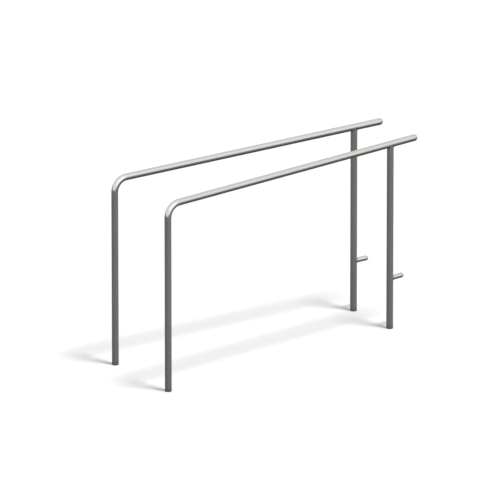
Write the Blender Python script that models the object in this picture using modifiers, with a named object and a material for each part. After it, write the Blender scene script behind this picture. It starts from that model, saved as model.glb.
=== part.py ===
"""Converging steel parallel bars: two welded tube frames set beside each other in the ground.

Each frame is one tube bent into a leg and a handrail, a support post under the handrail's free
end, and a short foot peg on that post. The bars run along +X, from the wide end, where the legs
are, to the narrow end, where the handrails overhang. Z = 0 is the ground, and the origin is the
middle of the ground that the object covers. All lengths are in metres.
"""

import math

import bmesh
import bpy
from mathutils import Vector

# Driving dimensions.
TUBE_RADIUS = 0.0483 / 2
TUBE_WALL = 0.003
POST_SPACING = 2.0  # leg to support post along a handrail, centre to centre
RAIL_HEIGHT = 1.386  # ground to the handrail's centre line
BEND_RADIUS = 4 * TUBE_RADIUS  # of the centre line between leg and handrail
RAIL_REACH = 0.24  # support post's centre to the tip of the handrail's cap
WIDE_SPACING = 0.645  # between the two legs, centre to centre
NARROW_SPACING = 0.436  # between the two support posts, centre to centre

PEG_RADIUS = 0.036 / 2
PEG_HEIGHT = 0.377  # ground to the foot peg's centre line
PEG_REACH = 0.12  # support post's centre to the tip of the foot peg's cap

CAP_SKIRT = 0.004  # straight part of an end cap, below its dome
RING_WIDTH = 0.003  # weld between a tube's end and its cap
RING_CROWN = 0.0007  # how far that weld stands proud
BEAD_SUNK = 0.0012  # how far a saddle weld's centre lies inside both tubes
RAIL_BEAD_RADII = (0.0028, 0.0056)  # at the post's cheeks and in its crotches
PEG_BEAD_RADII = (0.0042, 0.0050)
BEAD_EASE = 0.00035  # rounds a saddle weld where two equal tubes meet in a point
PLUG_THICKNESS = 0.006
PLUG_CHAMFER = 0.0008
GAP = 0.0003  # between pieces that touch

# How finely round shapes are divided.
TUBE_SIDES = 32
BEND_STEPS = 12
DOME_STEPS = 6
CROWN_STEPS = 2
BEAD_STEPS = 36
BEAD_SIDES = 12

# Colour, metallic value and roughness of each finish.
FINISHES = {
    "satin_steel": ((0.56, 0.56, 0.54, 1.0), 1.0, 0.28),
    "pressed_steel": ((0.58, 0.58, 0.56, 1.0), 1.0, 0.24),
    "weld_steel": ((0.42, 0.41, 0.39, 1.0), 1.0, 0.42),
    "plug_steel": ((0.36, 0.36, 0.35, 1.0), 1.0, 0.50),
}
SHARP_ANGLE = math.radians(35)
CUTTER_MARGIN = 0.02  # how far a cutter runs past what it cuts
MERGE_DISTANCE = 0.000001  # points of a swept mesh this close are one
POLE_MERGE_DISTANCE = 0.00001  # and points on a turned shape's axis
LEVEL_TOLERANCE = 0.000001  # ends of a horizontal edge are this equal in height

# Each frame is turned towards the other by this angle.
TOE_IN = math.asin((WIDE_SPACING - NARROW_SPACING) / 2 / POST_SPACING)


def clear_scene():
    for obj in list(bpy.data.objects):
        bpy.data.objects.remove(obj, do_unlink=True)


def new_collection(name):
    collection = bpy.data.collections.new(name)
    bpy.context.scene.collection.children.link(collection)
    return collection


def new_object(name, data, collection):
    obj = bpy.data.objects.new(name, data)
    collection.objects.link(obj)
    return obj


def give_material(obj, finish):
    """A Principled material of the object's own, in one of the finishes."""
    colour, metallic, roughness = FINISHES[finish]
    material = bpy.data.materials.new(f"{obj.name}_{finish}")
    material.use_nodes = True
    material.diffuse_color = colour
    shader = material.node_tree.nodes["Principled BSDF"]
    shader.inputs["Base Color"].default_value = colour
    shader.inputs["Metallic"].default_value = metallic
    shader.inputs["Roughness"].default_value = roughness
    obj.data.materials.clear()
    obj.data.materials.append(material)


def swept(name, points, radii, sides, collection, closed=False, capped=False):
    """A mesh swept along the points with a round section, of one radius for each point."""
    curve = bpy.data.curves.new(name, "CURVE")
    curve.dimensions = "3D"
    curve.bevel_depth = max(radii)
    curve.bevel_resolution = sides // 2 - 2  # Blender draws two sides for each step, and four more
    curve.use_fill_caps = capped
    spline = curve.splines.new("POLY")
    spline.points.add(len(points) - 1)
    spline.use_cyclic_u = closed
    for knot, point, radius in zip(spline.points, points, radii):
        knot.co = (*point, 1.0)
        knot.radius = radius / curve.bevel_depth
    drawn = new_object(name + "_curve", curve, collection)
    return meshed(name, drawn, collection)


def meshed(name, drawn, collection):
    """Replace a curve object by its mesh, with the caps welded on."""
    bpy.context.view_layer.update()
    graph = bpy.context.evaluated_depsgraph_get()
    mesh = bpy.data.meshes.new_from_object(drawn.evaluated_get(graph))
    shape = bmesh.new()
    shape.from_mesh(mesh)
    bmesh.ops.remove_doubles(shape, verts=shape.verts, dist=MERGE_DISTANCE)
    bmesh.ops.recalc_face_normals(shape, faces=shape.faces)
    shape.to_mesh(mesh)
    shape.free()
    obj = new_object(name, mesh, collection)
    obj.matrix_world = drawn.matrix_world.copy()
    bpy.data.objects.remove(drawn, do_unlink=True)
    return obj


def turned(name, profile, collection, closed=False):
    """A profile of (radius, height) points turned about its axis, which is laid along +X."""
    mesh = bpy.data.meshes.new(name)
    edges = [(index, index + 1) for index in range(len(profile) - 1)]
    if closed:
        edges.append((len(profile) - 1, 0))
    mesh.from_pydata([(radius, 0, height) for radius, height in profile], edges, [])
    obj = new_object(name, mesh, collection)
    screw = obj.modifiers.new("Turn", "SCREW")
    screw.steps = TUBE_SIDES
    screw.render_steps = TUBE_SIDES
    screw.use_merge_vertices = True
    screw.merge_threshold = POLE_MERGE_DISTANCE
    obj.rotation_euler = (0, math.pi / 2, 0)
    return obj


def solidify(obj, wall):
    """Give an open surface a wall on its inside."""
    modifier = obj.modifiers.new("Wall", "SOLIDIFY")
    modifier.thickness = wall
    modifier.offset = -1.0
    modifier.use_even_offset = True


def cut(obj, cutter):
    modifier = obj.modifiers.new(f"Clear_{cutter.name}", "BOOLEAN")
    modifier.operation = "DIFFERENCE"
    modifier.solver = "EXACT"
    modifier.object = cutter


def rail_path():
    """The bent tube's centre line: up the leg, round the bend and out to its free end."""
    points = [Vector((0, 0, 0))]
    centre = Vector((BEND_RADIUS, 0, RAIL_HEIGHT - BEND_RADIUS))
    for step in range(BEND_STEPS + 1):
        angle = math.pi / 2 * step / BEND_STEPS
        points.append(centre + BEND_RADIUS * Vector((-math.cos(angle), 0, math.sin(angle))))
    points.append(Vector((tube_end(RAIL_REACH, TUBE_RADIUS), 0, RAIL_HEIGHT)))
    return points


def tube_end(reach, radius):
    """Where a tube ends whose domed cap has its tip at that reach from the support post."""
    return POST_SPACING + reach - radius - CAP_SKIRT - RING_WIDTH - 2 * GAP


def saddle(branch_radius, run_radius, bead_radii):
    """The line where a branch tube meets a run, as (across, along the run, up the branch).

    The bead's radius goes from the first one at the branch's cheeks to the second at its crotches.
    """
    branch = branch_radius - BEAD_SUNK
    run = run_radius - BEAD_SUNK + BEAD_EASE
    cheek, crotch = bead_radii
    points, radii = [], []
    for step in range(BEAD_STEPS):
        angle = 2 * math.pi * step / BEAD_STEPS
        across = branch * math.sin(angle)
        points.append((across, branch * math.cos(angle), math.sqrt(run**2 - across**2)))
        radii.append(cheek + (crotch - cheek) * math.cos(angle) ** 2)
    return points, radii


def make_cutter(name, ends, radius, collection):
    """A solid round bar, a gap wider than the tube that it stands for."""
    cutter = swept(name, ends, [radius + GAP] * 2, TUBE_SIDES, collection, capped=True)
    cutter.hide_render = True
    cutter.display_type = "WIRE"
    return cutter


def make_cutters(prefix, collection):
    past = TUBE_RADIUS + CUTTER_MARGIN
    foot = Vector((POST_SPACING, 0, 0))
    rail = make_cutter(
        f"{prefix}_rail_cutter",
        [Vector((POST_SPACING - past, 0, RAIL_HEIGHT)), Vector((POST_SPACING + past, 0, RAIL_HEIGHT))],
        TUBE_RADIUS,
        collection,
    )
    post = make_cutter(
        f"{prefix}_post_cutter",
        [foot, foot + Vector((0, 0, RAIL_HEIGHT))],
        TUBE_RADIUS,
        collection,
    )
    peg = make_cutter(
        f"{prefix}_peg_cutter",
        [foot + Vector((0, 0, PEG_HEIGHT)), foot + Vector((PEG_REACH, 0, PEG_HEIGHT))],
        PEG_RADIUS,
        collection,
    )
    return rail, post, peg


def make_tube(name, points, radius, collection):
    tube = swept(name, points, [radius] * len(points), TUBE_SIDES, collection)
    solidify(tube, TUBE_WALL)
    return tube


def make_support_post(prefix, rail_cutter, collection):
    """A straight tube, its top coped to sit under the handrail."""
    ends = [Vector((POST_SPACING, 0, 0)), Vector((POST_SPACING, 0, RAIL_HEIGHT))]
    post = make_tube(f"{prefix}_support_post", ends, TUBE_RADIUS, collection)
    cut(post, rail_cutter)
    return post


def make_foot_peg(prefix, post_cutter, collection):
    """A short thin tube, its inner end coped to the support post."""
    end = tube_end(PEG_REACH, PEG_RADIUS)
    ends = [Vector((POST_SPACING, 0, PEG_HEIGHT)), Vector((end, 0, PEG_HEIGHT))]
    peg = make_tube(f"{prefix}_foot_peg", ends, PEG_RADIUS, collection)
    cut(peg, post_cutter)
    return peg


def make_end_cap(name, radius, tube_reach, height, collection):
    """A pressed hemisphere with a short skirt, on the end of a tube."""
    profile = []
    for step in range(DOME_STEPS + 1):
        angle = math.pi / 2 * step / DOME_STEPS
        profile.append((radius * math.sin(angle), CAP_SKIRT + radius * math.cos(angle)))
    profile[0] = (0.0, CAP_SKIRT + radius)
    profile.append((radius, 0.0))
    cap = turned(name, profile, collection)
    cap.location = (tube_reach + RING_WIDTH + 2 * GAP, 0, height)
    solidify(cap, TUBE_WALL)
    return cap


def make_end_weld(name, radius, tube_reach, height, collection):
    """A crowned ring of weld between a tube's end and its cap."""
    inner = radius - TUBE_WALL
    profile = [(inner, RING_WIDTH)]
    for step in range(CROWN_STEPS + 1):
        share = step / CROWN_STEPS
        crown = RING_CROWN * math.sin(math.pi * share)
        profile.append((radius + crown, RING_WIDTH * (1 - share)))
    profile.append((inner, 0.0))
    ring = turned(name, profile, collection, closed=True)
    ring.location = (tube_reach + GAP, 0, height)
    return ring


def make_rail_post_weld(prefix, cutters, collection):
    line, radii = saddle(TUBE_RADIUS, TUBE_RADIUS, RAIL_BEAD_RADII)
    points = [Vector((POST_SPACING + along, across, RAIL_HEIGHT - up)) for across, along, up in line]
    name = f"{prefix}_rail_post_weld"
    weld = swept(name, points, radii, BEAD_SIDES, collection, closed=True)
    for cutter in cutters:
        cut(weld, cutter)
    return weld


def make_peg_post_weld(prefix, cutters, collection):
    line, radii = saddle(PEG_RADIUS, TUBE_RADIUS, PEG_BEAD_RADII)
    points = [Vector((POST_SPACING + up, across, PEG_HEIGHT + along)) for across, along, up in line]
    name = f"{prefix}_peg_post_weld"
    weld = swept(name, points, radii, BEAD_SIDES, collection, closed=True)
    for cutter in cutters:
        cut(weld, cutter)
    return weld


def is_level(edge):
    start, end = edge.verts
    return abs(start.co.z - end.co.z) < LEVEL_TOLERANCE


def make_foot_plug(name, x, collection):
    """A chamfered disc that closes a tube flush with its foot."""
    mesh = bpy.data.meshes.new(name)
    radius = TUBE_RADIUS - TUBE_WALL - GAP
    shape = bmesh.new()
    bmesh.ops.create_cone(
        shape,
        cap_ends=True,
        segments=TUBE_SIDES,
        radius1=radius,
        radius2=radius,
        depth=PLUG_THICKNESS,
    )
    rims = [edge for edge in shape.edges if is_level(edge)]
    bmesh.ops.bevel(shape, geom=rims, offset=PLUG_CHAMFER, segments=1, affect="EDGES")
    shape.to_mesh(mesh)
    shape.free()
    plug = new_object(name, mesh, collection)
    plug.location = (x, 0, PLUG_THICKNESS / 2)
    return plug


def make_frame(prefix, side, parts, cutters):
    """One frame, on the -Y side for side = -1 or the +Y side for side = 1."""
    rail_cutter, post_cutter, peg_cutter = make_cutters(prefix, cutters)
    rail_end = tube_end(RAIL_REACH, TUBE_RADIUS)
    peg_end = tube_end(PEG_REACH, PEG_RADIUS)
    rail = (TUBE_RADIUS, rail_end, RAIL_HEIGHT, parts)
    peg = (PEG_RADIUS, peg_end, PEG_HEIGHT, parts)
    pieces = [
        (make_tube(f"{prefix}_bent_rail", rail_path(), TUBE_RADIUS, parts), "satin_steel"),
        (make_support_post(prefix, rail_cutter, parts), "satin_steel"),
        (make_foot_peg(prefix, post_cutter, parts), "satin_steel"),
        (make_end_cap(f"{prefix}_rail_end_cap", *rail), "pressed_steel"),
        (make_end_cap(f"{prefix}_peg_end_cap", *peg), "pressed_steel"),
        (make_end_weld(f"{prefix}_rail_end_weld", *rail), "weld_steel"),
        (make_end_weld(f"{prefix}_peg_end_weld", *peg), "weld_steel"),
        (make_rail_post_weld(prefix, (rail_cutter, post_cutter), parts), "weld_steel"),
        (make_peg_post_weld(prefix, (post_cutter, peg_cutter), parts), "weld_steel"),
        (make_foot_plug(f"{prefix}_leg_foot_plug", 0.0, parts), "plug_steel"),
        (make_foot_plug(f"{prefix}_post_foot_plug", POST_SPACING, parts), "plug_steel"),
    ]
    stand = new_object(f"{prefix}_frame", None, parts)
    length = (POST_SPACING + RAIL_REACH - TUBE_RADIUS) * math.cos(TOE_IN)
    stand.location = (-length / 2, side * WIDE_SPACING / 2, 0)
    stand.rotation_euler = (0, 0, -side * TOE_IN)
    for piece, finish in pieces:
        give_material(piece, finish)
        piece.data.shade_smooth()
        piece.data.set_sharp_from_angle(angle=SHARP_ANGLE)
        piece.parent = stand
    for cutter in (rail_cutter, post_cutter, peg_cutter):
        cutter.parent = stand


clear_scene()
parts_collection = new_collection("converging_parallel_bars")
cutter_collection = new_collection("cutters")
make_frame("front", -1, parts_collection, cutter_collection)
make_frame("rear", 1, parts_collection, cutter_collection)
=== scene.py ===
"""Looks for a pair of converging parallel bars, two welded frames of satin steel tube.

Each piece is lofted from rings of points in its own frame's coordinates, with the leg at the
origin, the handrail along +X and Z up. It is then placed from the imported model's boxes, and it
stands for the CAD node of the same name. Lengths are in metres.
"""

import math
from typing import NamedTuple

import bmesh
import bpy
import numpy as np
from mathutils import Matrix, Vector


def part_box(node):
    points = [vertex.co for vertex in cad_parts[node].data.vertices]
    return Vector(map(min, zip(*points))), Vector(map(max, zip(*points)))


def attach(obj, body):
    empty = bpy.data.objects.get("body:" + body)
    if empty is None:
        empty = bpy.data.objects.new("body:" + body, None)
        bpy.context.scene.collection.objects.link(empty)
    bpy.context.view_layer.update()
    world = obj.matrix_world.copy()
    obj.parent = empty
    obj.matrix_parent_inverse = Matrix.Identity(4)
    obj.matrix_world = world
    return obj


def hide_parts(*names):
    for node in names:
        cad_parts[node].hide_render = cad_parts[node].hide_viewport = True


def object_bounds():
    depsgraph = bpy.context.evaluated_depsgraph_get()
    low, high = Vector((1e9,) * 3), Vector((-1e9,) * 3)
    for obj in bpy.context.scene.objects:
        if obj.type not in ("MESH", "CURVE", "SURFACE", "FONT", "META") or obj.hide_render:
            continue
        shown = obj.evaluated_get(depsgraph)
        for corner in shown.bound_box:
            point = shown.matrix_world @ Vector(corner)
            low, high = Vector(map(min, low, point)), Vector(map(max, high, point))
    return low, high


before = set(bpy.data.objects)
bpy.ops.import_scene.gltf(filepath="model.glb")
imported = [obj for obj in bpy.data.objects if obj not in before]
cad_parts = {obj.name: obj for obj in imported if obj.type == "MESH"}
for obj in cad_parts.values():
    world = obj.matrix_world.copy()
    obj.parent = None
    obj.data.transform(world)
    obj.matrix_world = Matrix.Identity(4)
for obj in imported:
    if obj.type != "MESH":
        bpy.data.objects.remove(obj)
cad_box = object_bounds()

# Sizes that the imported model's boxes don't give.
WALL = 0.003
BEND_TO_TUBE = 4.0  # the bend's centre-line radius, in tube radii
BEND_FLATTENING = 0.008  # how oval the tube gets in its bend
RAIL_REACH = 0.24  # support post's centre to the tip of the handrail's cap
PEG_REACH = 0.12
CAP_SKIRT = 0.004
PLUG_THICKNESS = 0.006
PLUG_CHAMFER = 0.0008
GAP = 0.0003
EDGE = 0.0004  # broken edges at a tube's ends
SEAM_RIDGE = 0.0005  # the tube's own seam weld, left standing in its bore
SEAM_SPREAD = 0.09  # that ridge's half width, in radians
SEAM_ANGLE = math.radians(105)

# The ring of weld between a tube and its cap.
RING_WIDTH = 0.003
RING_CROWN = 0.0006
RING_LAP = 0.0008  # how far it runs over the tube and the cap
RING_SUNK = 0.0001
RING_RIPPLED = 0.25  # the share of its crown that is ripples
RING_RIPPLE_LAG = 0.5  # how far a ripple trails at the ring's sides, in ripples
RING_ROOT_PLACES = np.array([[0.8], [0.2]])  # of its two lines in the gap, as shares of its width

# The saddle of weld where two tubes meet.
BEAD_SUNK = 0.0012
BEAD_EASE = 0.00035
RAIL_BEAD_RADII = (0.0028, 0.0056)  # at the branch's cheeks and in its crotches
PEG_BEAD_RADII = (0.0042, 0.0050)
BEAD_ROOT_DEPTH = 0.3  # in bead radii
BEAD_RIPPLE = 0.00022
BEAD_RIPPLE_LAG = 0.9
BEAD_TO_BRANCH = 1.1  # the bead's length, in the branch's circumferences
BEAD_WANDER = 0.4
BEAD_WAVES = ((0.06, 3, 0.7), (0.04, 11, 0.0))  # size, number round the branch, phase

# Ripples of both welds.
RIPPLE_PITCH = 0.0021
RIPPLE_RISE = 0.3  # the share of a ripple in which it rises

# How finely the skins are divided.
TUBE_SIDES = 96
TUBE_STEP = 0.02
JOINT_STEP = 0.003
BEND_STEP = math.radians(2.5)
LEG_SPLIT = 0.2  # the height at which the leg's rings are spaced afresh
COPED_END = 0.05  # the length before a coped end that has close rings
DOME_STEPS = 22
PLUG_RINGS = 9
RING_SIDES = 384
RING_STEPS = 8
STEPS_IN_RIPPLE = 7
BEAD_ARC_STEPS = 14
BEAD_LIMIT_STEPS = 181
BEAD_SMOOTHING = 9
WELD_LINE_POINTS = 96
SLOPE_STEP = 1e-5
POLE_SIZE = 1e-9
MERGE_DISTANCE = 1e-7
SHARP_ANGLE = math.radians(40)

# How far from a weld's centre line the steel is tinted.
RAIL_HEAT_REACH = 0.014
PEG_HEAT_REACH = 0.012

# The floor and the soft key light.
FLOOR_COLOUR = 0.9
FLOOR_BRIGHTNESS = 1.03
FLOOR_REACH = 60.0
FLOOR_LEVEL = -0.0005
SUN_SHARE = 0.53  # of the light on the floor
SUN_DIRECTION = Vector((0.111, -0.239, 0.965))
SUN_SIZE = math.radians(9.4)
BACKGROUND = 1.0

# The surroundings that the steel mirrors. A direction's place is 1 straight away from the camera
# and -1 towards it, and a range is given as from, to, and the values at both.
SOFTBOX_AZIMUTH = math.radians(21)  # to the right of the camera, seen from the object
SOFTBOX_ELEVATION = math.radians(41)
SOFTBOX_CORE = math.radians(14)
SOFTBOX_REACH = math.radians(45)
SOFTBOX_GAIN = 0.57
TENT_RISE = (-0.4, 0.0, 1.14, 1.215)
TENT_FALL = (0.08, 0.4, 0.0, 0.24)
GROUND_LEVELS = ((0.0, 0.30), (0.20, 0.27), (0.36, 0.245), (0.60, 0.14), (0.80, 0.09), (1.0, 0.07))
GROUND_TILT = (-1.0, 1.0, 0.79, 1.18)  # from the left to the right
SKYLINE_TILT = (-1.0, 1.0, -0.109, 0.121)
SKYLINE_BLUR = (-0.02, 0.015)

# The camera, a long lens far away.
VIEW_AZIMUTH = math.radians(-35.64)
VIEW_ELEVATION = math.radians(20.37)
VIEW_DISTANCE = 92.38
VIEW_SHIFT = Vector((-0.104, 0.0697, -0.0027))  # from the middle of the object to the aim
LENS = 936.0
SENSOR = 36.0
CLIP_RANGE = (1.0, 1000.0)


class Look(NamedTuple):
    """How one kind of steel looks."""

    level: float
    roughness: float
    relief: float
    grain: tuple  # marks per metre along the piece and around it
    mottle: float  # how far the clouds lighten and darken it


LOOKS = {
    "satin_steel": Look(0.585, 0.17, 3.5e-6, (2400, 24), 0.015),
    "pressed_steel": Look(0.60, 0.15, 2.5e-6, (2800, 30), 0.015),
    "weld_steel": Look(0.44, 0.34, 9e-6, (1500, 1200), 0.12),
    "plug_steel": Look(0.40, 0.42, 1.4e-5, (1800, 40), 0.16),
}
STEEL_TINT = (1.0, 1.0, 0.966)

# Marks on the steel, per metre along the piece and around it, and the noise they show between.
DRAWN_MARKS = (1.5, 420)
SMEAR_MARKS = (16, 55)
SMEAR_RANGE = (0.52, 0.72)
NICK_MARKS = (110, 1300)
NICK_RANGE = (0.70, 0.76)
CLOUD_SCALE = 9.0
CLOUD_ROUGHNESS = (0.3, 0.7, -0.008, 0.012)
GRAIN_ROUGHNESS = (0.2, 0.8, -0.02, 0.03)
SMEAR_ROUGHNESS = 0.02
NICK_ROUGHNESS = 0.08
# Extra roughness within the painted-shade band at the feet.
FOOT_SHADE_ROUGHNESS = 0.04
HEAT_ROUGHNESS = 0.08
DRAWN_RELIEF = 0.6  # next to the grain's
NICK_RELIEF = 1.5

# Painted shade near the ground: darkest at the feet and thinning out upward.
FLECK_SCALE = 420.0
FLECK_SHIFT = (0.35, 0.65, -0.005, 0.005)
# A long darkening of the steel up from the ground: painted shade.
GROUND_SHADE_TOP = 0.55
GROUND_SHADE_SHARE = 0.13
GROUND_SHADE_COLOUR = (0.20, 0.19, 0.17, 1)
# A darker band at the very feet of the tubes: painted contact shadow.
FOOT_SHADE_RANGE = (0.045, -0.012)
FOOT_SHADE_SHARE = 0.46
FOOT_SHADE_COLOUR = (0.13, 0.12, 0.10, 1)

# Straw at the edge of the warmed steel, then bronze, then a dull blue grey at the weld.
HEAT_BAND = (0.0, 0.6)
HEAT_SHARE = 0.65
HEAT_COLOURS = (
    (0.0, (0.60, 0.58, 0.51, 1)),
    (0.35, (0.57, 0.51, 0.40, 1)),
    (0.60, (0.42, 0.37, 0.35, 1)),
    (0.80, (0.31, 0.33, 0.37, 1)),
    (1.0, (0.20, 0.205, 0.215, 1)),
)


def middle(node):
    low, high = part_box(node)
    return (low + high) / 2


def half_height(node):
    low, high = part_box(node)
    return (high.z - low.z) / 2


class Stand:
    """Where one of the two frames stands, and its sizes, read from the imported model."""

    def __init__(self, prefix):
        leg = middle(f"{prefix}_leg_foot_plug")
        post = middle(f"{prefix}_post_foot_plug")
        run = np.array([post.x - leg.x, post.y - leg.y, 0.0])
        self.prefix = prefix
        self.spacing = np.linalg.norm(run)
        self.origin = np.array([leg.x, leg.y, 0.0])
        along = run / self.spacing
        up = np.array([0.0, 0.0, 1.0])
        self.axes = np.array([along, np.cross(up, along), up])
        self.tube = half_height(f"{prefix}_rail_end_cap")
        self.peg = half_height(f"{prefix}_peg_end_cap")
        self.rail_height = middle(f"{prefix}_rail_end_cap").z
        self.peg_height = middle(f"{prefix}_peg_end_cap").z
        self.rail_end = self.tube_end(RAIL_REACH, self.tube)
        self.peg_end = self.tube_end(PEG_REACH, self.peg)

    def tube_end(self, reach, radius):
        """Where a tube ends whose domed cap has its tip at that reach from the support post."""
        return self.spacing + reach - radius - CAP_SKIRT - RING_WIDTH - 2 * GAP

    def place(self, points):
        return points @ self.axes + self.origin


# Points and rings.


def spread(start, end, step):
    """Even places from start to end, no further apart than the step."""
    return np.linspace(start, end, math.ceil(abs(end - start) / step) + 1)


def joined(*runs):
    """Runs of places end to end, each one's first place dropped where it repeats the last."""
    parts = [runs[0]] + [run[1:] for run in runs[1:]]
    return np.concatenate(parts)


def around(sides):
    return 2 * math.pi * np.arange(sides) / sides


def turned(distance, radius, angle, height):
    """Points about an axis along +X, whose radius may change with the angle."""
    return np.stack(
        np.broadcast_arrays(distance, radius * np.sin(angle), height + radius * np.cos(angle)),
        axis=-1,
    )


def arc_length(profile):
    steps = np.linalg.norm(np.diff(np.array(profile), axis=0), axis=1)
    return np.concatenate([[0.0], np.cumsum(steps)])


def ring_skin(run, radius, angle):
    """Where each point lies on the piece's own skin: its distance along, and around its section."""
    run, radius, angle = np.broadcast_arrays(run, radius, angle)
    return np.stack([run, radius * np.cos(angle), radius * np.sin(angle)], axis=-1)


def loft(name, points, skin, heat, closed):
    """A mesh over rings of points, shaped (rings, sides, 3), whose rings close on themselves."""
    rings, sides = points.shape[:2]
    index = np.arange(rings * sides).reshape(rings, sides)
    pole = np.ptp(points, axis=1).max(axis=1) < POLE_SIZE
    faces = []
    for ring in range(rings if closed else rings - 1):
        after = (ring + 1) % rings
        if pole[ring] and pole[after]:
            continue
        here, there = index[ring], index[after]
        quads = np.stack([here, np.roll(here, -1), np.roll(there, -1), there], axis=-1)
        faces.extend(quads.tolist())
    mesh = bpy.data.meshes.new(name)
    mesh.from_pydata(points.reshape(-1, 3).tolist(), [], faces)
    coordinates = mesh.attributes.new("skin", "FLOAT_VECTOR", "POINT")
    coordinates.data.foreach_set("vector", skin.astype(np.float32).ravel())
    warmth = mesh.attributes.new("weld_heat", "FLOAT", "POINT")
    if heat is not None:
        warmth.data.foreach_set("value", heat.astype(np.float32).ravel())
    tidy(mesh)
    return mesh


def tidy(mesh):
    """Weld the points at the poles, turn the faces outward and shade them smooth."""
    shape = bmesh.new()
    shape.from_mesh(mesh)
    bmesh.ops.remove_doubles(shape, verts=shape.verts, dist=MERGE_DISTANCE)
    bmesh.ops.recalc_face_normals(shape, faces=shape.faces)
    shape.to_mesh(mesh)
    shape.free()
    mesh.shade_smooth()
    mesh.set_sharp_from_angle(angle=SHARP_ANGLE)


def make_piece(stand, kind, slot, points, skin, heat=None, closed=True):
    """Loft a piece, give it its material, and say which CAD node it stands for."""
    node = f"{stand.prefix}_{kind}"
    mesh = loft(f"{node}_skin", stand.place(points), skin, heat, closed)
    mesh.materials.append(MATERIALS[slot])
    piece = bpy.data.objects.new(mesh.name, mesh)
    bpy.context.scene.collection.objects.link(piece)
    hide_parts(node)
    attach(piece, "root")


# The joints between tubes.


def saddle(branch_radius, run_radius, angle):
    """The line where a branch meets a run, as (across, along the run, up the branch)."""
    across = branch_radius * np.sin(angle)
    along = branch_radius * np.cos(angle)
    up = np.sqrt(np.maximum(run_radius**2 - across**2, 0.0))
    return across, along, up


def rail_joint(stand, branch_radius, run_radius, angle):
    across, along, up = saddle(branch_radius, run_radius, angle)
    return np.stack([stand.spacing + along, across, stand.rail_height - up], axis=-1)


def peg_joint(stand, branch_radius, run_radius, angle):
    across, along, up = saddle(branch_radius, run_radius, angle)
    return np.stack([stand.spacing + up, across, stand.peg_height + along], axis=-1)


def rail_weld_line(stand):
    return rail_joint(stand, stand.tube, stand.tube, around(WELD_LINE_POINTS))


def peg_weld_line(stand):
    return peg_joint(stand, stand.peg, stand.tube, around(WELD_LINE_POINTS))


def heat_near(points, line, reach):
    """How much a weld along the line has heated each point, from 1 at it to 0 at its reach."""
    flat = points.reshape(-1, 3)
    centre = line.mean(axis=0)
    limit = np.linalg.norm(line - centre, axis=1).max() + reach
    near = np.linalg.norm(flat - centre, axis=1) < limit
    heat = np.zeros(len(flat))
    if near.any():
        away = np.linalg.norm(flat[near][:, None] - line[None], axis=2).min(axis=1)
        heat[near] = np.clip(1 - away / reach, 0, 1)
    return heat.reshape(points.shape[:2])


# The tubes of one frame.


def bent_tube_stations(stand):
    """Centre, lean and distance along of each ring of the leg, the bend and the handrail."""
    bend = BEND_TO_TUBE * stand.tube
    top = stand.rail_height - bend
    leg = joined(
        np.array([0, EDGE]),
        spread(EDGE, LEG_SPLIT, TUBE_STEP),
        spread(LEG_SPLIT, top, TUBE_STEP),
    )
    lean = spread(0, math.pi / 2, BEND_STEP)[1:-1]
    joint = stand.spacing
    reach = 2 * stand.tube
    rail = joined(
        spread(bend, joint - reach, TUBE_STEP),
        spread(joint - reach, joint + reach, JOINT_STEP),
        spread(joint + reach, stand.rail_end - EDGE, TUBE_STEP),
        np.array([stand.rail_end - EDGE, stand.rail_end]),
    )
    curve = [bend * (1 - np.cos(lean)), 0 * lean, top + bend * np.sin(lean)]
    centres = [
        np.stack([0 * leg, 0 * leg, leg], axis=-1),
        np.stack(curve, axis=-1),
        np.stack([rail, 0 * rail, 0 * rail + stand.rail_height], axis=-1),
    ]
    leans = [0 * leg, lean, 0 * rail + math.pi / 2]
    runs = [leg, top + bend * lean, top + bend * math.pi / 2 + rail - bend]
    return np.concatenate(centres), np.concatenate(leans), np.concatenate(runs)


def ends_broken(radius, count, amount):
    """One radius for each ring, the first and the last drawn in by the amount."""
    radii = np.full(count, radius)
    radii[[0, -1]] -= amount
    return radii


def seam_ridge(angle):
    away = (angle - SEAM_ANGLE + math.pi) % (2 * math.pi) - math.pi
    return SEAM_RIDGE * np.exp(-((away / SEAM_SPREAD) ** 2))


def tube_walls(rings, run, outer, inner, angle):
    """Points and skin of a tube, out along its outside and back along its bore."""
    points = np.concatenate([rings(outer), rings(inner)[::-1]])
    skin = np.concatenate([ring_skin(run, outer, angle), ring_skin(run, inner, angle)[::-1]])
    return points, skin


def make_bent_rail(stand):
    """The leg and the handrail, one tube, slightly oval where it bends."""
    centre, lean, run = bent_tube_stations(stand)
    angle = around(TUBE_SIDES)[None, :]
    outward = np.stack([-np.cos(lean), 0 * lean, np.sin(lean)], axis=-1)[:, None]
    across = np.array([0.0, 1.0, 0.0])
    squeeze = BEND_FLATTENING * np.sin(2 * lean)[:, None]

    def rings(radii):
        tall = (radii * (1 - squeeze) * np.cos(angle))[..., None]
        wide = (radii * (1 + squeeze / 2) * np.sin(angle))[..., None]
        return centre[:, None] + tall * outward + wide * across

    outer = ends_broken(stand.tube, len(run), EDGE)[:, None]
    inner = ends_broken(stand.tube - WALL, len(run), -EDGE)[:, None] - seam_ridge(angle)
    points, skin = tube_walls(rings, run[:, None], outer, inner, angle)
    heat = heat_near(points, rail_weld_line(stand), RAIL_HEAT_REACH)
    make_piece(stand, "bent_rail", "satin_steel", points, skin, heat)


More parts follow.
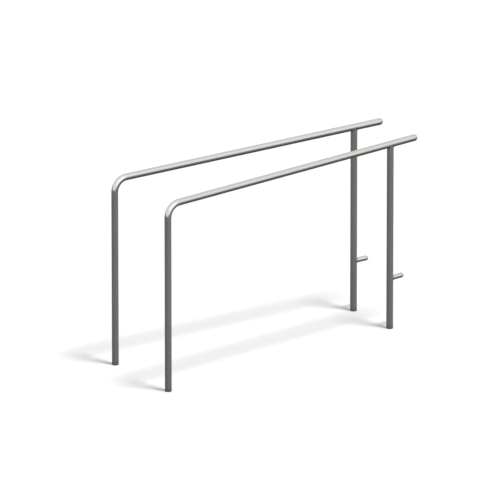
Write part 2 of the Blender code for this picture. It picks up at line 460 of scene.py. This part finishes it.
def make_branch(stand, kind, origin, axes, radius, end, weld_lines, heat_reach):
    """A straight tube from a plain end to a coped one that fits against another tube.

    The axes are its own direction, the way its angles start and the way they turn. Its end is
    how far along it the axis of the other tube lies.
    """
    direction, start, turn = [np.array(axis, float) for axis in axes]
    run_radius = stand.tube + GAP

    def length(across):
        return end - np.sqrt(np.maximum(run_radius**2 - across**2, 0.0))

    plain = length(np.zeros(1))[0]
    close = min(COPED_END, plain / 3)
    places = joined(
        np.array([0, EDGE]),
        spread(EDGE, plain - close, TUBE_STEP),
        spread(plain - close, plain, JOINT_STEP),
    )
    share = (places / plain)[:, None]
    angle = around(TUBE_SIDES)[None, :]

    def rings(radii):
        sideways = radii * np.sin(angle)
        far = share * length(sideways)
        spokes = (radii * np.cos(angle))[..., None] * start + sideways[..., None] * turn
        return np.array(origin) + far[..., None] * direction + spokes

    outer = np.full((len(places), 1), radius)
    outer[0] -= EDGE
    inner = outer - WALL + 0 * angle
    inner[0] += 2 * EDGE
    inner = inner - seam_ridge(angle)
    points, skin = tube_walls(rings, places[:, None], outer, inner, angle)
    heat = sum(heat_near(points, line, heat_reach) for line in weld_lines)
    make_piece(stand, kind, "satin_steel", points, skin, np.clip(heat, 0, 1))


def make_support_post(stand):
    """Up from the ground, its top coped to the underside of the handrail."""
    origin = (stand.spacing, 0, 0)
    axes = ((0, 0, 1), (-1, 0, 0), (0, 1, 0))
    lines = [rail_weld_line(stand), peg_weld_line(stand)]
    end = stand.rail_height
    make_branch(stand, "support_post", origin, axes, stand.tube, end, lines, RAIL_HEAT_REACH)


def make_foot_peg(stand):
    """From its capped end back to the support post, which its inner end is coped to."""
    origin = (stand.peg_end, 0, stand.peg_height)
    axes = ((-1, 0, 0), (0, 0, 1), (0, 1, 0))
    lines = [peg_weld_line(stand)]
    end = stand.peg_end - stand.spacing
    make_branch(stand, "foot_peg", origin, axes, stand.peg, end, lines, PEG_HEAT_REACH)


# What closes the tubes.


def make_end_cap(stand, kind, radius, tube_end, height):
    """A pressed hemisphere with a short skirt, as thick as the tube, its rim broken both sides."""
    dome = np.linspace(math.pi / 2, 0, DOME_STEPS)
    bore = radius - WALL
    outside = [(0, radius - EDGE), (EDGE, radius)]
    outside += [(CAP_SKIRT + radius * math.cos(a), radius * math.sin(a)) for a in dome]
    inside = [(CAP_SKIRT + bore * math.cos(a), bore * math.sin(a)) for a in dome[::-1]]
    inside += [(EDGE, bore), (0, bore + EDGE)]
    profile = outside + inside
    distance, radii = np.array(profile).T[:, :, None]
    angle = around(TUBE_SIDES)[None, :]
    start = tube_end + RING_WIDTH + 2 * GAP
    points = turned(start + distance, radii, angle, height)
    skin = ring_skin(arc_length(profile)[:, None], radii, angle)
    make_piece(stand, f"{kind}_end_cap", "pressed_steel", points, skin)


def ripple(phase):
    """One weld ripple to each whole number: a quick rise and a slower fall."""
    share = phase % 1.0
    return np.where(share < RIPPLE_RISE, share / RIPPLE_RISE, (1 - share) / (1 - RIPPLE_RISE))


def make_end_weld(stand, kind, radius, tube_end, height):
    """The low weld that joins a cap to its tube, its ripples mostly ground away."""
    width = RING_WIDTH + 2 * (GAP + RING_LAP)
    share = np.linspace(0, 1, RING_STEPS)[:, None]
    angle = around(RING_SIDES)[None, :]
    count = round(2 * math.pi * radius / RIPPLE_PITCH)
    phase = count * angle / (2 * math.pi) + RING_RIPPLE_LAG * (2 * share - 1) ** 2
    hump = np.sin(math.pi * share)
    smooth = (1 - RING_RIPPLED) * RING_CROWN
    proud = hump * (smooth + RING_RIPPLED * RING_CROWN * ripple(phase)) - RING_SUNK
    root = np.full((len(RING_ROOT_PLACES), RING_SIDES), radius - WALL)
    radii = np.concatenate([radius + proud, root])
    run = width * np.concatenate([share, RING_ROOT_PLACES])
    points = turned(tube_end - RING_LAP + run, radii, angle, height)
    make_piece(stand, f"{kind}_end_weld", "weld_steel", points, ring_skin(run, radii, angle))


def make_foot_plug(stand, kind, x):
    """A chamfered disc, faced on both sides, that closes a tube at the ground."""
    radius = stand.tube - WALL - GAP - SEAM_RIDGE
    faced = np.linspace(0, radius - PLUG_CHAMFER, PLUG_RINGS)
    profile = [(0, r) for r in faced]
    profile += [(PLUG_CHAMFER, radius), (PLUG_THICKNESS - PLUG_CHAMFER, radius)]
    profile += [(PLUG_THICKNESS, r) for r in faced[::-1]]
    height, radii = np.array(profile).T[:, :, None]
    angle = around(TUBE_SIDES)[None, :]
    points = np.stack(
        np.broadcast_arrays(x + radii * np.cos(angle), radii * np.sin(angle), height), axis=-1
    )
    skin = ring_skin(arc_length(profile)[:, None], radii, angle)
    make_piece(stand, f"{kind}_foot_plug", "plug_steel", points, skin, closed=False)


# The saddle welds.


def outside_tubes(stand, height, radius):
    """How far a point lies outside both the post and the level tube at that height."""

    def outside(points):
        across, up = points[..., 1], points[..., 2] - height
        along = points[..., 0] - stand.spacing
        from_level = np.sqrt(across**2 + up**2) - radius
        from_post = np.sqrt(across**2 + along**2) - stand.tube
        return np.minimum(from_level, from_post)

    return outside


def slope_of(field, points):
    """The direction in which the field grows at each point."""
    steps = SLOPE_STEP * np.eye(3)
    slope = np.stack([field(points + step) - field(points - step) for step in steps], axis=-1)
    return slope / np.linalg.norm(slope, axis=1)[:, None]


def bead_axes(centre, outside):
    """For each point of the bead's centre line, the way out of the tubes and the way sideways.

    Known fault: the way out is only that of the tube in which the line lies deeper. In the
    crotches it runs inside the other tube, so bead_limits finds no width and the bead has gaps.
    """
    tangent = np.roll(centre, -1, axis=0) - np.roll(centre, 1, axis=0)
    tangent /= np.linalg.norm(tangent, axis=1)[:, None]
    outward = slope_of(outside, centre)
    outward -= tangent * (outward * tangent).sum(axis=1)[:, None]
    outward /= np.linalg.norm(outward, axis=1)[:, None]
    return outward, np.cross(tangent, outward)


def spokes(outward, sideways, turn):
    """Directions turned from outward towards sideways, a row of them for each point."""
    ahead = np.cos(turn)[..., None] * outward[:, None]
    return ahead + np.sin(turn)[..., None] * sideways[:, None]


def smoothed(limit):
    """A running mean of values that follow each other round a ring."""
    weights = np.hanning(BEAD_SMOOTHING) / np.hanning(BEAD_SMOOTHING).sum()
    count = len(limit)
    return np.convolve(np.tile(limit, 3), weights, "same")[count : 2 * count]


def bead_limits(centre, outward, sideways, radius, outside):
    """The first angles either side of outward at which the round bead meets a tube."""
    turn = np.linspace(0, math.pi, BEAD_LIMIT_STEPS)
    limits = []
    for way in (-1, 1):
        spoke = spokes(outward, sideways, way * turn[None, :])
        clear = outside(centre[:, None] + radius[:, None, None] * spoke) > 0
        first = np.argmax(~clear, axis=1)
        limits.append(smoothed(way * turn[first]))
    return limits


def make_saddle_weld(stand, kind, joint, branch_radius, radii, outside):
    """A rippled fillet along a saddle line.

    Its section is the part of a round bead that lies outside both tubes, closed by a point sunk
    between them. The outside function gives how far a point lies outside both.
    """
    length = 2 * math.pi * branch_radius
    ripples = round(BEAD_TO_BRANCH * length / RIPPLE_PITCH)
    angle = around(ripples * STEPS_IN_RIPPLE)
    run_radius = stand.tube - BEAD_SUNK + BEAD_EASE
    centre = joint(stand, branch_radius - BEAD_SUNK, run_radius, angle)
    outward, sideways = bead_axes(centre, outside)
    cheek, crotch = radii
    radius = cheek + (crotch - cheek) * np.cos(angle) ** 2

    low, high = bead_limits(centre, outward, sideways, radius, outside)
    share = np.linspace(0, 1, BEAD_ARC_STEPS)[None, :]
    turn = low[:, None] + (high - low)[:, None] * share
    run = np.cumsum(np.linalg.norm(centre - np.roll(centre, 1, axis=0), axis=1))
    phase = (ripples * run / run[-1])[:, None] - BEAD_RIPPLE_LAG * (2 * share - 1) ** 2
    hump = np.sin(math.pi * share)
    wander = sum(size * np.sin(number * angle + start) for size, number, start in BEAD_WAVES)
    size = radius[:, None] * (1 + BEAD_WANDER * wander[:, None] * hump)
    size = size - BEAD_RIPPLE + hump * BEAD_RIPPLE * ripple(phase)

    arc = centre[:, None] + size[..., None] * spokes(outward, sideways, turn)
    root = (centre - BEAD_ROOT_DEPTH * radius[:, None] * outward)[:, None]
    points = np.concatenate([arc, root], axis=1)
    skin = np.zeros(points.shape)
    skin[..., 0] = run[:, None]
    skin[:, :-1, 1] = size * np.cos(turn)
    skin[:, :-1, 2] = size * np.sin(turn)
    make_piece(stand, f"{kind}_weld", "weld_steel", points, skin, np.ones(points.shape[:2]))


def make_frame(prefix):
    stand = Stand(prefix)
    tube, peg = stand.tube, stand.peg
    make_bent_rail(stand)
    make_support_post(stand)
    make_foot_peg(stand)
    rail_tip = (stand, "rail", tube, stand.rail_end, stand.rail_height)
    peg_tip = (stand, "peg", peg, stand.peg_end, stand.peg_height)
    for tip in (rail_tip, peg_tip):
        make_end_cap(*tip)
        make_end_weld(*tip)
    clear = outside_tubes(stand, stand.rail_height, tube)
    make_saddle_weld(stand, "rail_post", rail_joint, tube, RAIL_BEAD_RADII, clear)
    clear = outside_tubes(stand, stand.peg_height, peg)
    make_saddle_weld(stand, "peg_post", peg_joint, peg, PEG_BEAD_RADII, clear)
    make_foot_plug(stand, "leg", 0.0)
    make_foot_plug(stand, "post", stand.spacing)


# Materials.


class Tree:
    """Short calls for building a node tree."""

    def __init__(self, node_tree):
        node_tree.nodes.clear()
        self.nodes = node_tree.nodes
        self.links = node_tree.links

    def add(self, kind, settings=None, inputs=None):
        node = self.nodes.new(kind)
        for name, value in (settings or {}).items():
            setattr(node, name, value)
        for socket, value in (inputs or {}).items():
            self.feed(node.inputs[socket], value)
        return node

    def feed(self, socket, value):
        if isinstance(value, bpy.types.NodeSocket):
            self.links.new(value, socket)
        else:
            socket.default_value = value

    def maths(self, operation, first, second=0.0, clamp=False):
        settings = {"operation": operation, "use_clamp": clamp}
        return self.add("ShaderNodeMath", settings, {0: first, 1: second}).outputs[0]

    def vector(self, operation, first, second, output="Vector"):
        settings = {"operation": operation}
        return self.add("ShaderNodeVectorMath", settings, {0: first, 1: second}).outputs[output]

    def ranged(self, value, low, high, to_low=0.0, to_high=1.0, smooth=True):
        settings = {"interpolation_type": "SMOOTHSTEP" if smooth else "LINEAR"}
        inputs = {"Value": value, 1: low, 2: high, 3: to_low, 4: to_high}
        return self.add("ShaderNodeMapRange", settings, inputs).outputs["Result"]

    def mixed(self, amount, first, second):
        settings = {"data_type": "RGBA"}
        return self.add("ShaderNodeMix", settings, {0: amount, 6: first, 7: second}).outputs[2]

    def ramp(self, value, stops):
        """A colour for each value, from stops given as (place, colour)."""
        node = self.add("ShaderNodeValToRGB", None, {0: value})
        elements = node.color_ramp.elements
        first, *between, last = stops
        for element, (place, colour) in zip(elements, (first, last)):
            element.position = place
            element.color = colour
        for place, colour in between:
            elements.new(place).color = colour
        return node.outputs[0]

    def noise(self, place, scale, detail=2.0, roughness=0.5):
        inputs = {"Vector": place, "Scale": scale, "Detail": detail, "Roughness": roughness}
        return self.add("ShaderNodeTexNoise", None, inputs).outputs["Fac"]

    def grain(self, skin, along, round_it, detail):
        """Noise drawn out over the skin, in marks per metre along the piece and around it."""
        stretched = self.vector("MULTIPLY", skin, (along, round_it, round_it))
        return self.noise(stretched, 1.0, detail)

    def attribute(self, name, output):
        return self.add("ShaderNodeAttribute", {"attribute_name": name}).outputs[output]


def grey(level, tint=(1.0, 1.0, 1.0)):
    return (level * tint[0], level * tint[1], level * tint[2], 1.0)


def steel_marks(tree, look):
    """The patterns that the steel's colour, roughness and relief are made from."""
    skin = tree.attribute("skin", "Vector")
    place = tree.add("ShaderNodeTexCoord").outputs["Object"]
    height = tree.add("ShaderNodeSeparateXYZ", None, {0: place}).outputs["Z"]
    flecks = tree.noise(place, FLECK_SCALE, 2.0)
    # Height broken up by flecks; it sets where the painted shade near the ground lies.
    shade_height = tree.maths("ADD", height, tree.ranged(flecks, *FLECK_SHIFT))
    return {
        "heat": tree.attribute("weld_heat", "Fac"),
        "grain": tree.grain(skin, *look.grain, detail=3.0),
        "drawn": tree.grain(skin, *DRAWN_MARKS, detail=2.0),
        "clouds": tree.noise(place, CLOUD_SCALE, 3.0, 0.55),
        "smears": tree.ranged(tree.grain(skin, *SMEAR_MARKS, detail=3.0), *SMEAR_RANGE),
        "nicks": tree.ranged(tree.grain(skin, *NICK_MARKS, detail=1.0), *NICK_RANGE),
        # The next two are painted shade: a long darkening towards the ground and a darker band at
        # the feet.
        "ground_shade": tree.ranged(shade_height, GROUND_SHADE_TOP, 0.0, smooth=False),
        "foot_shade": tree.ranged(shade_height, *FOOT_SHADE_RANGE),
    }


def steel_colour(tree, look, marks):
    """Faintly clouded metal, tinted beside the saddle welds, with painted shade darkening it near
    the ground.
    """
    dark = grey(look.level * (1 - look.mottle), STEEL_TINT)
    light = grey(look.level * (1 + look.mottle), STEEL_TINT)
    colour = tree.mixed(marks["clouds"], dark, light)
    heated = tree.ranged(marks["heat"], *HEAT_BAND)
    layers = (
        (heated, HEAT_SHARE, tree.ramp(marks["heat"], HEAT_COLOURS)),
        # Painted shade: the steel darkened towards the ground.
        (marks["ground_shade"], GROUND_SHADE_SHARE, GROUND_SHADE_COLOUR),
        # Painted contact shadow: a darker band at the feet.
        (marks["foot_shade"], FOOT_SHADE_SHARE, FOOT_SHADE_COLOUR),
    )
    for amount, share, layer in layers:
        colour = tree.mixed(tree.maths("MULTIPLY", amount, share), colour, layer)
    return colour


def steel_roughness(tree, look, marks):
    roughness = tree.maths("ADD", tree.ranged(marks["clouds"], *CLOUD_ROUGHNESS), look.roughness)
    roughness = tree.maths("ADD", tree.ranged(marks["grain"], *GRAIN_ROUGHNESS), roughness)
    added = {
        "smears": SMEAR_ROUGHNESS,
        "nicks": NICK_ROUGHNESS,
        # The painted-shade band at the feet is also made rougher.
        "foot_shade": FOOT_SHADE_ROUGHNESS,
        "heat": HEAT_ROUGHNESS,
    }
    for mark, amount in added.items():
        more = tree.maths("MULTIPLY", marks[mark], amount)
        roughness = tree.maths("ADD", more, roughness, clamp=True)
    return roughness


def steel_normal(tree, look, marks):
    relief = tree.maths("ADD", marks["grain"], tree.maths("MULTIPLY", marks["drawn"], DRAWN_RELIEF))
    relief = tree.maths("SUBTRACT", relief, tree.maths("MULTIPLY", marks["nicks"], NICK_RELIEF))
    inputs = {"Strength": 1.0, "Distance": look.relief, "Height": relief}
    return tree.add("ShaderNodeBump", None, inputs).outputs[0]


def steel(name, look):
    """Ground steel: fine grain, draw lines, clouding, handling marks, weld heat, and painted shade
    near the ground.
    """
    material = bpy.data.materials.new(name)
    material.use_nodes = True
    tree = Tree(material.node_tree)
    marks = steel_marks(tree, look)
    inputs = {
        "Base Color": steel_colour(tree, look, marks),
        "Metallic": 1.0,
        "Roughness": steel_roughness(tree, look, marks),
        "Normal": steel_normal(tree, look, marks),
    }
    shader = tree.add("ShaderNodeBsdfPrincipled", None, inputs)
    tree.add("ShaderNodeOutputMaterial", None, {"Surface": shader.outputs[0]})
    return material


# Floor, light and camera.


def make_floor():
    mesh = bpy.data.meshes.new("studio_floor")
    signs = ((-1, -1), (1, -1), (1, 1), (-1, 1))
    corners = [(x * FLOOR_REACH, y * FLOOR_REACH, FLOOR_LEVEL) for x, y in signs]
    mesh.from_pydata(corners, [], [(0, 1, 2, 3)])
    floor = bpy.data.objects.new("studio_floor", mesh)
    bpy.context.scene.collection.objects.link(floor)
    material = bpy.data.materials.new("studio_floor")
    material.use_nodes = True
    tree = Tree(material.node_tree)
    shader = tree.add("ShaderNodeBsdfDiffuse", None, {"Color": grey(FLOOR_COLOUR)})
    tree.add("ShaderNodeOutputMaterial", None, {"Surface": shader.outputs[0]})
    mesh.materials.append(material)
    floor.visible_glossy = False


def make_sun():
    """The soft key light, which the steel doesn't mirror."""
    light = bpy.data.lights.new("key", "SUN")
    direction = SUN_DIRECTION.normalized()
    light.energy = FLOOR_BRIGHTNESS * SUN_SHARE * math.pi / (FLOOR_COLOUR * direction.z)
    light.angle = SUN_SIZE
    sun = bpy.data.objects.new("key", light)
    sun.rotation_euler = direction.to_track_quat("Z", "Y").to_euler()
    sun.visible_glossy = False
    bpy.context.scene.collection.objects.link(sun)


def view_directions():
    """Level directions to the right of the photograph's view and away from it."""
    right = (math.cos(VIEW_AZIMUTH), math.sin(VIEW_AZIMUTH), 0.0)
    back = (-math.sin(VIEW_AZIMUTH), math.cos(VIEW_AZIMUTH), 0.0)
    return right, back


def softbox_direction():
    """Towards the large soft light that the steel mirrors, beside the camera."""
    azimuth = VIEW_AZIMUTH + SOFTBOX_AZIMUTH
    level = math.cos(SOFTBOX_ELEVATION)
    return (level * math.sin(azimuth), -level * math.cos(azimuth), math.sin(SOFTBOX_ELEVATION))


def mirrored_light(tree):
    """What the steel mirrors: a bright tent and a soft box, over ground that darkens downward."""
    direction = tree.add("ShaderNodeTexCoord").outputs["Generated"]
    up = tree.add("ShaderNodeSeparateXYZ", None, {0: direction}).outputs["Z"]
    right, back = view_directions()
    behind = tree.vector("DOT_PRODUCT", direction, back, "Value")
    sideways = tree.vector("DOT_PRODUCT", direction, right, "Value")

    tent = tree.ranged(behind, *TENT_RISE, smooth=False)
    tent = tree.maths("SUBTRACT", tent, tree.ranged(behind, *TENT_FALL, smooth=False))
    facing = tree.vector("DOT_PRODUCT", direction, softbox_direction(), "Value")
    lamp = tree.ranged(facing, math.cos(SOFTBOX_REACH), math.cos(SOFTBOX_CORE), 0.0, SOFTBOX_GAIN)
    above = tree.maths("ADD", tent, lamp)

    stops = [(place, grey(level)) for place, level in GROUND_LEVELS]
    ground = tree.ramp(tree.maths("MULTIPLY", up, -1.0), stops)
    below = tree.maths("MULTIPLY", ground, tree.ranged(sideways, *GROUND_TILT, smooth=False))

    skyline = tree.maths("SUBTRACT", up, tree.ranged(behind, *SKYLINE_TILT, smooth=False))
    horizon = tree.ranged(skyline, *SKYLINE_BLUR)
    difference = tree.maths("SUBTRACT", above, below)
    return tree.maths("ADD", below, tree.maths("MULTIPLY", horizon, difference))


def make_world():
    """White to the camera, even light on the floor, and surroundings for the steel to mirror."""
    world = bpy.data.worlds.new("studio")
    bpy.context.scene.world = world
    world.use_nodes = True
    world.cycles.sampling_method = "NONE"
    tree = Tree(world.node_tree)
    rays = tree.add("ShaderNodeLightPath").outputs
    floor_light = FLOOR_BRIGHTNESS * (1 - SUN_SHARE) / FLOOR_COLOUR
    level = tree.maths("MULTIPLY", rays["Is Glossy Ray"], mirrored_light(tree))
    for ray, strength in (("Is Diffuse Ray", floor_light), ("Is Camera Ray", BACKGROUND)):
        level = tree.maths("ADD", level, tree.maths("MULTIPLY", rays[ray], strength))
    shader = tree.add("ShaderNodeBackground", None, {"Color": grey(1.0), "Strength": level})
    tree.add("ShaderNodeOutputWorld", None, {"Surface": shader.outputs[0]})


def make_camera():
    low, high = cad_box
    aim = (Vector(low) + Vector(high)) / 2 + VIEW_SHIFT
    level = math.cos(VIEW_ELEVATION)
    away = Vector(
        (
            math.sin(VIEW_AZIMUTH) * level,
            -math.cos(VIEW_AZIMUTH) * level,
            math.sin(VIEW_ELEVATION),
        )
    )
    data = bpy.data.cameras.new("view")
    data.lens = LENS
    data.sensor_width = SENSOR
    data.clip_start, data.clip_end = CLIP_RANGE
    camera = bpy.data.objects.new("view", data)
    camera.location = aim + VIEW_DISTANCE * away
    camera.rotation_euler = away.to_track_quat("Z", "Y").to_euler()
    bpy.context.scene.collection.objects.link(camera)
    bpy.context.scene.camera = camera


MATERIALS = {name: steel(name, look) for name, look in LOOKS.items()}
make_camera()
make_floor()
make_sun()
make_world()
bpy.context.scene.view_settings.view_transform = "Standard"
for side in ("front", "rear"):
    make_frame(side)
